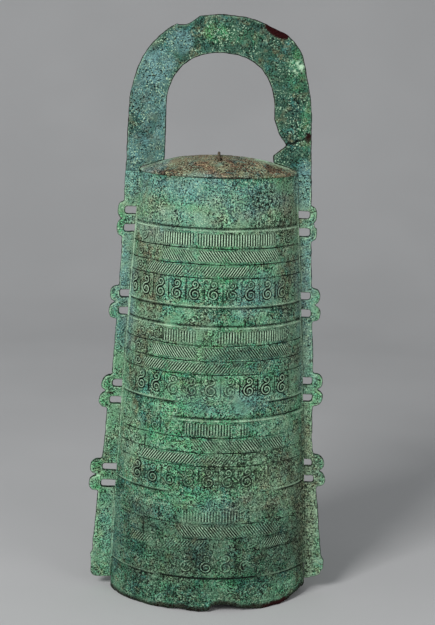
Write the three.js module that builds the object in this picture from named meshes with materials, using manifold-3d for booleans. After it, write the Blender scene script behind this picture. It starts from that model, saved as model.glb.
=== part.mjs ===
// Dotaku, a tall bronze ritual bell with a flat arched handle, standing on its hem.
// Millimetres, +Z up. The origin lies on the ground under the middle of the bell.
// The flanges lie along X, and the front face looks towards -Y.

import * as THREE from "three";
import { mergeVertices } from "three/addons/utils/BufferGeometryUtils.js";
import Module from "manifold-3d";

const wasm = await Module();
wasm.setup();

// Body wall, a hollow almond-shaped tube that widens towards the hem
const bodyHeight = 451;
const crownHalfWidth = 79.5;
const crownHalfDepth = 56;
const hemHalfWidth = 105;
const hemHalfDepth = 68;
const sideSwell = 1.75;
const faceWall = 3;
const tipWall = 6;
const almondPower = 1.3;
const almondSegments = 64;

// Plain zones from the top of the wall downwards, with an ornament register under each,
// as shares of the body's height
const plainZoneShares = [0.1153, 0.0497, 0.043, 0.0342];
const registerShare = 0.169;
const panelRise = 0.8;
const ridgeRise = 1.6;
const ridgeWidth = 2.4;

// Striking ridge round the inside of the hem, which the clapper rings against
const strikeHeight = 32;
const strikeCrest = 10;
const strikeSlope = 5;
const strikeRise = 5;

// Shallow notch in the hem of each face, where the core was held in the mould
const notchWidth = 30;
const notchHeight = 8;
const notchOffset = 17;

// Crown, the domed top plate with two cord holes
const crownThickness = 3;
const crownRise = 14.7;
const crownOverhang = 0.8;
const domePower = 2.5;
const cordHoleRadius = 4.5;
const cordHoleOffset = 24;

// Flat plate of the handle and the two flanges
const plateThickness = 5.5;
const plateBevel = 0.8;
const archRise = 110;
const legHeight = 49;
const openingHalfWidth = 54.5;
const openingRise = 56.5;
const openingLegHeight = 64;
const openingSpread = 1.5;
const archPower = 2.3;
const flangeTopReach = 15.8;
const flangeFootReach = 18;
const handleNarrowing = 1.8;
const flangeHollow = 3.4;
const flangeLift = 10;
const footHeight = 30;
const footStep = 4;
const footFlare = 3.2;
const footRadius = 6;

// Ears, pairs of half-round lugs on the flange edges, each with a slot beside it
const earHeight = 17.7;
const earPitch = 18.3;
const earPower = 2.4;
const slotHeight = 7.4;
const slotRadius = 2;
const slotRim = 1.4;
const earReachShares = [0.31, 0.48, 0.53, 0.6];
const leftEarSlipShares = [0.03, 0.03, 0.04, 0.055];
const rightEarSlipShares = [0.03, 0.06, 0.145, 0.2];

// Cord, a thin braid: a loop over the crown, a knot, and a length down to the clapper
const cordRadius = 1.6;
const knotDrop = 43;
const knotRadius = 6;
const legSpread = 2.4;
const eyeDrop = 198;
const bindingRise = 27;
const bindingRadius = 4.5;
const bindingHalfLength = 6;
const bightHalfWidth = 7.8;

// Clapper, a cast bronze rod with a pierced lug at its top
const clapperLength = 190;
const bulbRadius = 11;
const neckRadius = 7;
const lugThickness = 6;
const lugRadius = 7;
const eyeRadius = 3.5;
const shoulderDrop = 10;

// Half widths over the flanges and the handle, which stand beside the body wall
const flangeTopHalfWidth = crownHalfWidth + flangeTopReach;
const flangeFootHalfWidth = hemHalfWidth + flangeFootReach;
const handleHalfWidth = flangeTopHalfWidth - handleNarrowing;

// Height of one ornament register
const registerHeight = registerShare * bodyHeight;

// Gap between neighbouring pieces, and how far a cutter runs past what it cuts
const seam = 0.3;
const overrun = 4;
const mergeTolerance = 0.001;

const roundSides = 20;
const cordSides = 8;

// Half width of the body wall, in the plane of the flanges, at height z
function bodyHalfWidth(z) {
  const fall = 1 - z / bodyHeight;
  const taper = THREE.MathUtils.lerp(crownHalfWidth, hemHalfWidth, fall);
  return taper + 4 * sideSwell * fall * (1 - fall);
}

// Half depth of the body wall, from face to face, at height z
function bodyHalfDepth(z) {
  return THREE.MathUtils.lerp(crownHalfDepth, hemHalfDepth, 1 - z / bodyHeight);
}

// Heights of the top edge of each ornament register
function registerTops() {
  const tops = [];
  let edge = bodyHeight;
  for (const share of plainZoneShares) {
    const top = edge - share * bodyHeight;
    tops.push(top);
    edge = top - registerHeight;
  }
  return tops;
}

// One almond-shaped ring of a loft
function ring(halfWidth, halfDepth, z) {
  return { halfWidth, halfDepth, z };
}

// A ring that follows the outside of the wall, standing proud by rise
function wallRing(z, rise) {
  return ring(bodyHalfWidth(z) + rise, bodyHalfDepth(z) + rise, z);
}

// A ring that follows the inside of the wall, standing into the hollow by rise
function hollowRing(z, rise) {
  return ring(bodyHalfWidth(z) - tipWall - rise, bodyHalfDepth(z) - faceWall - rise, z);
}

// The point of a closed loft end
function pole(z) {
  return ring(0, 0, z);
}

// Points of one ring, or the single point of a pole
function ringPoints(section) {
  if (section.halfWidth === 0) {
    return [new THREE.Vector3(0, 0, section.z)];
  }
  const points = [];
  for (let i = 0; i < almondSegments; i += 1) {
    const angle = (2 * Math.PI * i) / almondSegments;
    const across = Math.sin(angle);
    const bulge = Math.sign(across) * Math.abs(across) ** almondPower;
    points.push(
      new THREE.Vector3(section.halfWidth * Math.cos(angle), section.halfDepth * bulge, section.z),
    );
  }
  return points;
}

// A skin through almond rings, listed down the outside and up the inside of the solid.
// It closes on itself as a tube where looped is true, and otherwise at its two poles.
function loft(rings, looped) {
  const positions = [];
  const starts = [];
  for (const section of rings) {
    starts.push(positions.length / 3);
    for (const point of ringPoints(section)) {
      positions.push(point.x, point.y, point.z);
    }
  }
  const faces = [];
  const spans = looped ? rings.length : rings.length - 1;
  for (let i = 0; i < spans; i += 1) {
    const next = (i + 1) % rings.length;
    for (let k = 0; k < almondSegments; k += 1) {
      const beside = (k + 1) % almondSegments;
      if (rings[i].halfWidth === 0) {
        faces.push(starts[next] + k, starts[next] + beside, starts[i]);
      } else if (rings[next].halfWidth === 0) {
        faces.push(starts[next], starts[i] + beside, starts[i] + k);
      } else {
        faces.push(starts[next] + k, starts[next] + beside, starts[i] + beside);
        faces.push(starts[next] + k, starts[i] + beside, starts[i] + k);
      }
    }
  }
  const skin = new THREE.BufferGeometry();
  skin.setAttribute("position", new THREE.Float32BufferAttribute(positions, 3));
  skin.setIndex(faces);
  return skin;
}

// A closed solid from a geometry, for joining and cutting
function toSolid(geometry) {
  const bare = geometry.clone();
  bare.deleteAttribute("normal");
  bare.deleteAttribute("uv");
  const merged = mergeVertices(bare, mergeTolerance);
  return new wasm.Manifold(
    new wasm.Mesh({
      numProp: 3,
      vertProperties: new Float32Array(merged.attributes.position.array),
      triVerts: new Uint32Array(merged.index.array),
    }),
  );
}

function toGeometry(solid) {
  const mesh = solid.getMesh();
  const geometry = new THREE.BufferGeometry();
  geometry.setAttribute("position", new THREE.BufferAttribute(mesh.vertProperties, 3));
  geometry.setIndex(new THREE.BufferAttribute(mesh.triVerts, 1));
  geometry.computeVertexNormals();
  return geometry;
}

// A flat plate of a given thickness standing in the XZ plane, its edges bevelled if bevel isn't 0
function standingPlate(outline, thickness, bevel) {
  const plate = new THREE.ExtrudeGeometry(outline, {
    depth: thickness - 2 * bevel,
    bevelEnabled: bevel > 0,
    bevelThickness: bevel,
    bevelSize: bevel,
    bevelOffset: -bevel,
    bevelSegments: 1,
    curveSegments: 3,
  });
  plate.rotateX(Math.PI / 2);
  plate.translate(0, thickness / 2 - bevel, 0);
  return plate;
}

// A round cord along a list of points
function cordAlong(points, steps) {
  const section = new THREE.Shape();
  for (let i = 0; i < cordSides; i += 1) {
    const angle = (2 * Math.PI * i) / cordSides;
    const x = cordRadius * Math.cos(angle);
    const y = cordRadius * Math.sin(angle);
    if (i === 0) {
      section.moveTo(x, y);
    } else {
      section.lineTo(x, y);
    }
  }
  return new THREE.ExtrudeGeometry(section, {
    steps,
    bevelEnabled: false,
    extrudePath: new THREE.CatmullRomCurve3(points),
  });
}

function patinatedBronze(color, roughness) {
  return new THREE.MeshStandardMaterial({ color, roughness, metalness: 0.25 });
}

function braidedHemp() {
  return new THREE.MeshStandardMaterial({ color: 0x6b5438, roughness: 0.9, metalness: 0 });
}

function named(name, geometry, material) {
  const mesh = new THREE.Mesh(geometry, material);
  mesh.name = name;
  return mesh;
}

// Outside of the body from the top down, with each register proud of the plain zones
// and a fine ridge along its upper and lower edge
function outsideRings(clearance) {
  const rings = [wallRing(bodyHeight, clearance)];
  for (const top of registerTops()) {
    const bottom = top - registerHeight;
    rings.push(wallRing(top + ridgeWidth / 2, clearance));
    rings.push(wallRing(top, ridgeRise + clearance));
    rings.push(wallRing(top - ridgeWidth / 2, panelRise + clearance));
    rings.push(wallRing(bottom + ridgeWidth / 2, panelRise + clearance));
    rings.push(wallRing(bottom, ridgeRise + clearance));
    rings.push(wallRing(bottom - ridgeWidth / 2, clearance));
  }
  rings.push(wallRing(0, clearance));
  return rings;
}

// Inside of the body from the hem up, with the striking ridge
function insideRings() {
  const lowCrest = strikeHeight - strikeCrest / 2;
  const highCrest = strikeHeight + strikeCrest / 2;
  const rings = [
    hollowRing(0, 0),
    hollowRing(lowCrest - strikeSlope, 0),
    hollowRing(lowCrest, strikeRise),
    hollowRing(highCrest, strikeRise),
    hollowRing(highCrest + strikeSlope, 0),
  ];
  for (const share of [1 / 3, 2 / 3, 1]) {
    rings.push(hollowRing(THREE.MathUtils.lerp(highCrest + strikeSlope, bodyHeight, share), 0));
  }
  return rings;
}

// The body wall of the casting, open below and closed above by the crown
function bellBody() {
  let wall = toSolid(loft([...outsideRings(0), ...insideRings()], true));
  for (const face of [-1, 1]) {
    const notch = new THREE.BoxGeometry(notchWidth, hemHalfDepth, 2 * notchHeight);
    notch.translate(-face * notchOffset, face * hemHalfDepth, 0);
    wall = wall.subtract(toSolid(notch));
  }
  return named("bell_body", toGeometry(wall), patinatedBronze(0x3c7a5c, 0.75));
}

// Height of the crown's upper face above its rim, at a share of the way out to the rim
function domeHeight(share) {
  return crownRise * (1 - share ** domePower);
}

// Rings of the crown's upper face from its middle out to the rim
function domeRings(clearance) {
  const rimHeight = bodyHeight + crownThickness;
  const rings = [pole(rimHeight + crownRise + clearance)];
  for (const share of [0.22, 0.42, 0.6, 0.76, 0.9, 1]) {
    rings.push(
      ring(
        share * (crownHalfWidth + crownOverhang + clearance),
        share * (crownHalfDepth + crownOverhang + clearance),
        rimHeight + domeHeight(share) + clearance,
      ),
    );
  }
  return rings;
}

// Rings of the crown's underside from the top of the wall up to its middle
function undersideRings() {
  const rings = [];
  for (const share of [1, 0.86, 0.68, 0.5, 0.3]) {
    rings.push(
      ring(
        share * (crownHalfWidth - tipWall),
        share * (crownHalfDepth - faceWall),
        bodyHeight + domeHeight(share),
      ),
    );
  }
  rings.push(pole(bodyHeight + crownRise));
  return rings;
}

// The domed crown, which closes the top of the wall and holds the cord
function crown() {
  const rimFoot = ring(crownHalfWidth + crownOverhang, crownHalfDepth + crownOverhang, bodyHeight);
  let plate = toSolid(loft([...domeRings(0), rimFoot, ...undersideRings()], false));
  const holeLength = 2 * (crownThickness + crownRise);
  for (const face of [-1, 1]) {
    const hole = new THREE.CylinderGeometry(cordHoleRadius, cordHoleRadius, holeLength, roundSides);
    hole.rotateX(Math.PI / 2);
    hole.translate(0, face * cordHoleOffset, bodyHeight + crownRise);
    plate = plate.subtract(toSolid(hole));
  }
  return named("crown", toGeometry(plate), patinatedBronze(0x6f5f48, 0.8));
}

// Upper half of a squared ellipse, from its right end over the top to its left end
function archPoints(halfWidth, rise, springHeight, steps) {
  const points = [];
  for (let i = 0; i <= steps; i += 1) {
    const angle = (Math.PI * i) / steps;
    const across = Math.cos(angle);
    const x = halfWidth * Math.sign(across) * Math.abs(across) ** (2 / archPower);
    const z = springHeight + rise * Math.abs(Math.sin(angle)) ** (2 / archPower);
    points.push(new THREE.Vector2(x, z));
  }
  return points;
}

// The flat arched handle. Its legs stand on the crown and run on down into the flanges.
function handle() {
  const outer = archPoints(handleHalfWidth, archRise, bodyHeight + legHeight, 36);
  const inner = archPoints(openingHalfWidth, openingRise, bodyHeight + openingLegHeight, 26);
  const openingFoot = openingHalfWidth + openingSpread;
  const outline = new THREE.Shape([
    new THREE.Vector2(flangeTopHalfWidth, bodyHeight),
    ...outer,
    new THREE.Vector2(-flangeTopHalfWidth, bodyHeight),
    new THREE.Vector2(-openingFoot, bodyHeight),
    ...inner.reverse(),
    new THREE.Vector2(openingFoot, bodyHeight),
  ]);
  const foot = ring(
    crownHalfWidth + crownOverhang + seam,
    crownHalfDepth + crownOverhang + seam,
    bodyHeight - overrun,
  );
  const crownRoom = toSolid(loft([...domeRings(seam), foot, pole(bodyHeight - overrun)], false));
  const arch = toSolid(standingPlate(outline, plateThickness, plateBevel)).subtract(crownRoom);
  return named("handle", toGeometry(arch), patinatedBronze(0x3f8468, 0.75));
}

// Half width over the flanges at height z, above the foot
function flangeHalfWidth(z) {
  const footTop = flangeLift + footHeight;
  const fall = (bodyHeight - z) / (bodyHeight - footTop);
  const taper = THREE.MathUtils.lerp(flangeTopHalfWidth, flangeFootHalfWidth, fall);
  return taper - 4 * flangeHollow * fall * (1 - fall);
}

// Middle height of each ear on one side. A pair sits at the top of the first register
// and between each register and the next, a little higher on the right as it was cast.
function earHeights(slipShares) {
  const tops = registerTops();
  const heights = [];
  tops.forEach((top, i) => {
    const gap = i === 0 ? 0 : tops[i - 1] - registerHeight - top;
    const middle = top + gap / 2 + slipShares[i] * registerHeight;
    heights.push([middle + earPitch / 2, middle - earPitch / 2]);
  });
  return heights;
}

// The slot beside an ear. It starts inside the body wall, so that it opens at the wall, and
// ends just inside the flange edge.
function slotOutline(z) {
  const start = bodyHalfWidth(z) - overrun / 2;
  const end = flangeHalfWidth(z) - slotRim;
  const low = z - slotHeight / 2;
  const high = z + slotHeight / 2;
  const slot = new THREE.Shape();
  slot.moveTo(start + slotRadius, low);
  slot.lineTo(end - slotRadius, low);
  slot.quadraticCurveTo(end, low, end, low + slotRadius);
  slot.lineTo(end, high - slotRadius);
  slot.quadraticCurveTo(end, high, end - slotRadius, high);
  slot.lineTo(start + slotRadius, high);
  slot.quadraticCurveTo(start, high, start, high - slotRadius);
  slot.lineTo(start, low + slotRadius);
  slot.quadraticCurveTo(start, low, start + slotRadius, low);
  return slot;
}

// The flange of one side, a thin plate that runs from the handle leg to the hem.
// It widens at its foot, and its inner edge follows the relief of the body wall.
function flange(name, slipShares) {
  const footTop = flangeLift + footHeight;
  const footHalfWidth = flangeFootHalfWidth + footFlare;
  const rootTop = crownHalfWidth - overrun;
  const rootFoot = hemHalfWidth - overrun;
  const edgeSteps = 12;
  const outline = new THREE.Shape();
  outline.moveTo(rootFoot, flangeLift);
  outline.lineTo(footHalfWidth - footRadius, flangeLift);
  outline.quadraticCurveTo(footHalfWidth, flangeLift, footHalfWidth, flangeLift + footRadius);
  outline.lineTo(footHalfWidth, footTop - footStep);
  for (let i = 0; i <= edgeSteps; i += 1) {
    const z = THREE.MathUtils.lerp(footTop, bodyHeight, i / edgeSteps);
    outline.lineTo(flangeHalfWidth(z), z);
  }
  outline.lineTo(rootTop, bodyHeight);
  const above = wallRing(bodyHeight + overrun, seam);
  const below = wallRing(-overrun, seam);
  const bodyRoom = toSolid(
    loft([pole(above.z), above, ...outsideRings(seam), below, pole(below.z)], false),
  );
  let plate = toSolid(standingPlate(outline, plateThickness, plateBevel)).subtract(bodyRoom);
  for (const z of earHeights(slipShares).flat()) {
    const slot = standingPlate(slotOutline(z), plateThickness + 2 * overrun, 0);
    plate = plate.subtract(toSolid(slot));
  }
  return named(name, toGeometry(plate), patinatedBronze(0x458a66, 0.75));
}

// One ear, a half-round lug against the edge of the flange
function ear(name, z, reachShare) {
  const reach = reachShare * earHeight;
  const steps = 12;
  const points = [];
  for (let i = 0; i <= steps; i += 1) {
    const angle = Math.PI * (i / steps - 1 / 2);
    const up = Math.sin(angle);
    const height = z + (earHeight / 2) * Math.sign(up) * Math.abs(up) ** (2 / earPower);
    const out = reach * Math.abs(Math.cos(angle)) ** (2 / earPower);
    points.push(new THREE.Vector2(flangeHalfWidth(height) + seam + out, height));
  }
  const lug = standingPlate(new THREE.Shape(points), plateThickness, plateBevel);
  return named(name, lug, patinatedBronze(0x4a9468, 0.75));
}

// One side of the bell as it lies at +X: its flange and the four pairs of ears
function flangeSide(sideName, slipShares) {
  const side = new THREE.Group();
  side.add(flange(`${sideName}_flange`, slipShares));
  earHeights(slipShares).forEach((pair, i) => {
    const number = i + 1;
    side.add(ear(`${sideName}_ear_${number}_upper`, pair[0], earReachShares[i]));
    side.add(ear(`${sideName}_ear_${number}_lower`, pair[1], earReachShares[i]));
  });
  return side;
}

// The braid loop that the knot hangs from: up through one hole of the crown, over the
// bridge between the holes and down through the other. Its origin is the knot's middle.
function crownLoop() {
  const knotHeight = bodyHeight - knotDrop;
  const seatShares = [0.96, 0.8, 0.45, 0];
  const crownTop = bodyHeight + crownThickness - knotHeight;
  const legAngle = Math.atan2(legSpread, knotRadius);
  const start = new THREE.Vector3(
    0,
    (knotRadius + seam) * Math.sin(legAngle),
    (knotRadius + seam) * Math.cos(legAngle),
  );
  const throat = new THREE.Vector3(0, cordHoleOffset, crownTop + crownRise - crownThickness);
  const half = [start, start.clone().lerp(throat, 0.35), start.clone().lerp(throat, 0.7), throat];
  for (const share of seatShares) {
    const y = share * cordHoleOffset;
    const lift = crownTop + domeHeight(y / crownHalfDepth) + cordRadius + seam;
    half.push(new THREE.Vector3(0, y, lift));
  }
  const route = [...half];
  for (const point of half.slice(0, -1).reverse()) {
    route.push(new THREE.Vector3(0, -point.y, point.z));
  }
  return named("crown_cord_loop", cordAlong(route, 44), braidedHemp());
}

// The round knot under the crown that the lower cord turns and swings from
function cordKnot() {
  const knot = new THREE.SphereGeometry(knotRadius, roundSides, roundSides / 2);
  return named("cord_knot", knot, braidedHemp());
}

// The lower cord: a straight braid, a whipped binding and the bight through the clapper's eye.
// Its origin is the knot's middle.
function clapperCord() {
  const top = new THREE.Vector3(0, 0, -knotRadius - seam);
  const bindingHeight = bindingRise - eyeDrop;
  const binding = new THREE.SphereGeometry(bindingRadius, roundSides, roundSides / 2);
  binding.scale(1, 1, bindingHalfLength / bindingRadius);
  binding.translate(0, 0, bindingHeight);
  const straight = cordAlong([top, new THREE.Vector3(0, 0, bindingHeight)], 1);
  const widthShares = [0.54, 0.98, 1, 0.62, 0.14];
  const riseShares = [0, 0.17, 0.42, 0.74, 0.97];
  const half = widthShares.map(
    (share, i) =>
      new THREE.Vector3(share * bightHalfWidth, 0, riseShares[i] * bindingRise - eyeDrop),
  );
  const mirrored = half.map((point) => new THREE.Vector3(-point.x, 0, point.z));
  const bight = cordAlong([...half.reverse(), ...mirrored], 30);
  const joined = toSolid(straight).add(toSolid(binding)).add(toSolid(bight));
  return named("clapper_cord", toGeometry(joined), braidedHemp());
}

// The clapper, a rod that thickens to a rounded striking end. Its origin is the middle of
// the cord in its eye, and the eye's upper edge rests just above the cord.
function clapper() {
  const foot = -clapperLength;
  const strike = foot + bulbRadius;
  const profile = [new THREE.Vector2(0, foot)];
  const roundSteps = 5;
  for (let i = 1; i <= roundSteps; i += 1) {
    const angle = ((Math.PI / 2) * i) / roundSteps;
    profile.push(
      new THREE.Vector2(bulbRadius * Math.sin(angle), strike - bulbRadius * Math.cos(angle)),
    );
  }
  profile.push(new THREE.Vector2(bulbRadius, strike + bulbRadius));
  profile.push(new THREE.Vector2(neckRadius, -shoulderDrop - neckRadius));
  profile.push(new THREE.Vector2(neckRadius / 2, -shoulderDrop));
  profile.push(new THREE.Vector2(0, -shoulderDrop));
  const rod = new THREE.LatheGeometry(profile, roundSides);
  rod.rotateX(Math.PI / 2);
  const eyeHeight = cordRadius + seam - eyeRadius;
  const lugOutline = new THREE.Shape();
  lugOutline.moveTo(-lugRadius, -shoulderDrop - lugRadius);
  lugOutline.lineTo(lugRadius, -shoulderDrop - lugRadius);
  lugOutline.lineTo(lugRadius, eyeHeight);
  lugOutline.absarc(0, eyeHeight, lugRadius, 0, Math.PI, false);
  const eye = new THREE.Path();
  eye.absarc(0, eyeHeight, eyeRadius, 0, 2 * Math.PI, true);
  lugOutline.holes.push(eye);
  const lug = new THREE.ExtrudeGeometry(lugOutline, {
    depth: lugThickness,
    bevelEnabled: false,
    curveSegments: roundSides / 2,
  });
  lug.translate(0, 0, -lugThickness / 2);
  lug.rotateX(Math.PI / 2);
  lug.rotateZ(Math.PI / 2);
  const joined = toSolid(rod).add(toSolid(lug));
  return named("clapper", toGeometry(joined), patinatedBronze(0x4d6b52, 0.7));
}

// The pieces as they hang together: the clapper on the cord, and the cord at the knot
function hangingClapper() {
  const hanging = new THREE.Group();
  hanging.position.set(0, 0, bodyHeight - knotDrop);
  hanging.add(crownLoop(), cordKnot(), clapperCord());
  const struck = clapper();
  struck.position.set(0, 0, -eyeDrop);
  hanging.add(struck);
  return hanging;
}

const dotaku = new THREE.Group();
dotaku.add(bellBody(), crown(), handle());
const rightSide = flangeSide("right", rightEarSlipShares);
const leftSide = flangeSide("left", leftEarSlipShares);
leftSide.rotation.z = Math.PI;
dotaku.add(rightSide, leftSide, hangingClapper());

export default dotaku;
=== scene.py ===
import math

import bmesh
import bpy
import numpy as np
from mathutils import Matrix, Vector


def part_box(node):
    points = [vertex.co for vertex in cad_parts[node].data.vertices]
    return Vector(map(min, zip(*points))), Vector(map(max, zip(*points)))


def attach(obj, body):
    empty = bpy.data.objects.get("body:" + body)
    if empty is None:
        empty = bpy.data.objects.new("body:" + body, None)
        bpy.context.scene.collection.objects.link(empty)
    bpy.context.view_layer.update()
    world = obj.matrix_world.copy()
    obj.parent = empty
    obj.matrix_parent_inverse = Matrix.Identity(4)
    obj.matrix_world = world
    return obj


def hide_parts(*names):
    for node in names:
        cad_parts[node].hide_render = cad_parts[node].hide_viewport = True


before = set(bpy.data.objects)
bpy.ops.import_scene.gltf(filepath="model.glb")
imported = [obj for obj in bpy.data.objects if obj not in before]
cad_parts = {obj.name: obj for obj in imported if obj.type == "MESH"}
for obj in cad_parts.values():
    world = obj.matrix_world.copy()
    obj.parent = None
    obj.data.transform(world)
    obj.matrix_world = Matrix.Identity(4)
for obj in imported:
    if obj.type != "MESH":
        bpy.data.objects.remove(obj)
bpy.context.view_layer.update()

# Camera. It looks a little down at the front face from about one and a half metres,
# rolled so that the bell's top leans slightly to the right.
def add_object(name, data):
    """An object in the scene."""
    obj = bpy.data.objects.new(name, data)
    bpy.context.scene.collection.objects.link(obj)
    return obj


camera = add_object("camera", bpy.data.cameras.new("camera"))
camera.data.sensor_width = 36
camera.data.lens = 81.55
pitch_down = Matrix.Rotation(math.radians(90 - 11.5), 4, "X")
roll = Matrix.Rotation(math.radians(1.62), 4, "Z")
camera.matrix_world = Matrix.Translation((0.003, -1.45, 0.6)) @ pitch_down @ roll
bpy.context.scene.camera = camera


# Patina of the casting. Buried bronze that has turned matt green, with turquoise, vivid green,
# tan and brown areas, pale specks and dark pits. Each piece says by painted values where they lie,
# and where painted highlights and painted shade lie on it.
def linear(hex_colour):
    """Linear colour of a hex sRGB colour."""
    channels = [int(hex_colour[i : i + 2], 16) / 255 for i in (1, 3, 5)]
    return [c / 12.92 if c <= 0.04045 else ((c + 0.055) / 1.055) ** 2.4 for c in channels] + [1]


def new_material(name, settings):
    """A material, its node tree and its shader, which gets the settings."""
    material = bpy.data.materials.new(name)
    material.use_nodes = True
    shader = material.node_tree.nodes["Principled BSDF"]
    for socket, value in settings.items():
        shader.inputs[socket].default_value = value
    return material, material.node_tree, shader


def add_node(tree, kind, settings=None, links=None):
    """Adds a node with its settings and its links, by property or socket name."""
    made = tree.nodes.new(kind)
    for name, value in (settings or {}).items():
        if name in made.bl_rna.properties:
            setattr(made, name, value)
        else:
            made.inputs[name].default_value = value
    for name, source in (links or {}).items():
        tree.links.new(source, made.inputs[name])
    return made


def cloud(tree, size, low, high, detail=4.0, warp=0.0):
    """Mask of noise with features of size metres, from 0 where it is low to 1 where it is high."""
    place = add_node(tree, "ShaderNodeTexCoord").outputs["Object"]
    shape = {"Scale": 1 / size, "Detail": detail, "Roughness": 0.62, "Distortion": warp}
    noise = add_node(tree, "ShaderNodeTexNoise", shape, {"Vector": place}).outputs["Fac"]
    span = {"From Min": low, "From Max": high, "interpolation_type": "SMOOTHSTEP"}
    return add_node(tree, "ShaderNodeMapRange", span, {"Value": noise}).outputs["Result"]


def painted(tree, name):
    """A piece's painted value, or 0."""
    return add_node(tree, "ShaderNodeAttribute", {"attribute_name": name}).outputs["Fac"]


def connect(tree, socket, value):
    """Gives a socket a number, a colour or a link."""
    if isinstance(value, str):
        socket.default_value = linear(value)
    elif isinstance(value, (int, float)):
        socket.default_value = value
    else:
        tree.links.new(value, socket)


def calculate(tree, operation, first, second):
    """Arithmetic on two values, clamped from 0 to 1."""
    made = add_node(tree, "ShaderNodeMath", {"operation": operation, "use_clamp": True})
    connect(tree, made.inputs[0], first)
    connect(tree, made.inputs[1], second)
    return made.outputs["Value"]


def times(tree, first, second):
    """One value multiplied by another."""
    return calculate(tree, "MULTIPLY", first, second)


def overlay(tree, mask, under, over, blend="MIX"):
    """One colour laid over another by a mask."""
    mix = add_node(tree, "ShaderNodeMix", {"data_type": "RGBA", "blend_type": blend})
    for index, value in ((0, mask), (6, under), (7, over)):
        connect(tree, mix.inputs[index], value)
    return mix.outputs[2]


def grained(tree, colour, size, depth, detail, strength):
    """A colour made lighter and darker by noise whose grains are size metres."""
    grains = cloud(tree, size, 0.5 - depth, 0.5 + depth, detail)
    return overlay(tree, strength, colour, grains, "OVERLAY")


def bumped(tree, strength, distance, height, under=None):
    """Normal of a relief that is distance metres high where height is 1."""
    links = {"Height": height, "Normal": under} if under else {"Height": height}
    relief = {"Strength": strength, "Distance": distance}
    return add_node(tree, "ShaderNodeBump", relief, links).outputs["Normal"]


def patina(name, shade, ground, light, grit):
    """Material of corroded cast bronze, from three colours and the strength of its finest grain."""
    matt = {"Roughness": 0.78, "Metallic": 0.05, "Specular IOR Level": 0.15, "IOR": 1.45}
    material, tree, shader = new_material(name, matt)
    colour = overlay(tree, cloud(tree, 0.03, 0.36, 0.62, 6, 0.4), shade, ground)
    colour = overlay(tree, times(tree, cloud(tree, 0.013, 0.5, 0.64, 6, 0.3), 0.6), colour, light)
    for pigment, size in (("#8F8663", 0.0085), ("#4A8C88", 0.0105)):
        blotches = times(tree, cloud(tree, size, 0.5, 0.64, 6, 0.5), 0.45)
        colour = overlay(tree, blotches, colour, pigment)
    for value, pigment, size, strength in (
        ("turquoise", "#7AA8A8", 0.014, 0.85),
        ("tan", "#A2A585", 0.009, 0.7),
        ("vivid", "#48A062", 0.01, 0.75),
        ("blue", "#2D5B61", 0.012, 0.65),
        ("brown", "#71604C", 0.008, 0.65),
    ):
        broken = times(tree, painted(tree, value), cloud(tree, size, 0.28, 0.6, 6, 0.3))
        colour = overlay(tree, times(tree, broken, strength), colour, pigment)
    calm = cloud(tree, 0.024, 0.47, 0.6, 3, 0.5)
    colour = overlay(tree, times(tree, calm, 0.35), colour, light)
    uneven = calculate(tree, "SUBTRACT", 1.0, times(tree, calm, 0.75))
    colour = grained(tree, colour, 0.005, 0.36, 6, times(tree, uneven, 0.16 + 0.16 * grit))
    colour = grained(tree, colour, 0.0014, 0.15, 1, times(tree, uneven, 1.15 * grit))
    crusty = calculate(tree, "MAXIMUM", cloud(tree, 0.022, 0.4, 0.56), painted(tree, "pitted"))
    specks = times(tree, cloud(tree, 0.0015, 0.61 - 0.035 * grit, 0.65, 1), crusty)
    pits = times(tree, cloud(tree, 0.0017, 0.42, 0.37, 1), cloud(tree, 0.02, 0.66, 0.44))
    rotten = times(tree, cloud(tree, 0.0026, 0.49, 0.42, 2), painted(tree, "pitted"))
    pits = calculate(tree, "MAXIMUM", pits, rotten)
    # Over the grain go specks and pits, then the painted values: pale for wear and painted highlights, near
    # black for dirt and painted shade, and dark red.
    for mask, pigment in (
        (times(tree, painted(tree, "turquoise"), 0.4), "#6B9595"),
        (times(tree, specks, 0.9), "#BFE3C0"),
        (times(tree, pits, 0.95), "#0B130F"),
        (painted(tree, "worn"), "#CBF1CC"),
        (painted(tree, "dirt"), "#0C1411"),
        (painted(tree, "maroon"), "#2E0708"),
    ):
        colour = overlay(tree, mask, colour, pigment)
    tree.links.new(colour, shader.inputs["Base Color"])
    rough = bumped(tree, 0.9, 0.0011, cloud(tree, 0.0022, 0.25, 0.75, 3))
    pitted = bumped(tree, 0.9, 0.0012, calculate(tree, "SUBTRACT", 1.0, pits), rough)
    tree.links.new(pitted, shader.inputs["Normal"])
    return material


# Body of the casting. A thin wall of almond-shaped plan, poured in one piece with all the rest.
# Four ornament registers stand a little proud, each between two fine ridges, and inside the
# hem runs the ridge that the clapper strikes.
def soft_step(low, high, value):
    """0 below low, 1 above high, and smooth between them."""
    t = np.clip((value - low) / (high - low), 0, 1)
    return t * t * (3 - 2 * t)


def between(start, full, fade, end, value):
    """0 below start and above end, 1 from full to fade, and smooth between them."""
    return soft_step(start, full, value) * (1 - soft_step(fade, end, value))


def hump(offset, width):
    """1 where the offset is 0, and down to nothing over about twice the width."""
    return np.exp(-((offset / width) ** 2))


def lattice(cell, seed):
    """A repeatable random value from 0 to 1 for each cell."""
    mixed = cell[..., 0] * 73856093 ^ cell[..., 1] * 19349663 ^ cell[..., 2] * 83492791 ^ seed * 7368787
    mixed = (mixed ^ (mixed >> 13)) * 1274126177 & 0x7FFFFFFF
    return ((mixed ^ (mixed >> 15)) & 0xFFFF) / 65535


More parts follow.
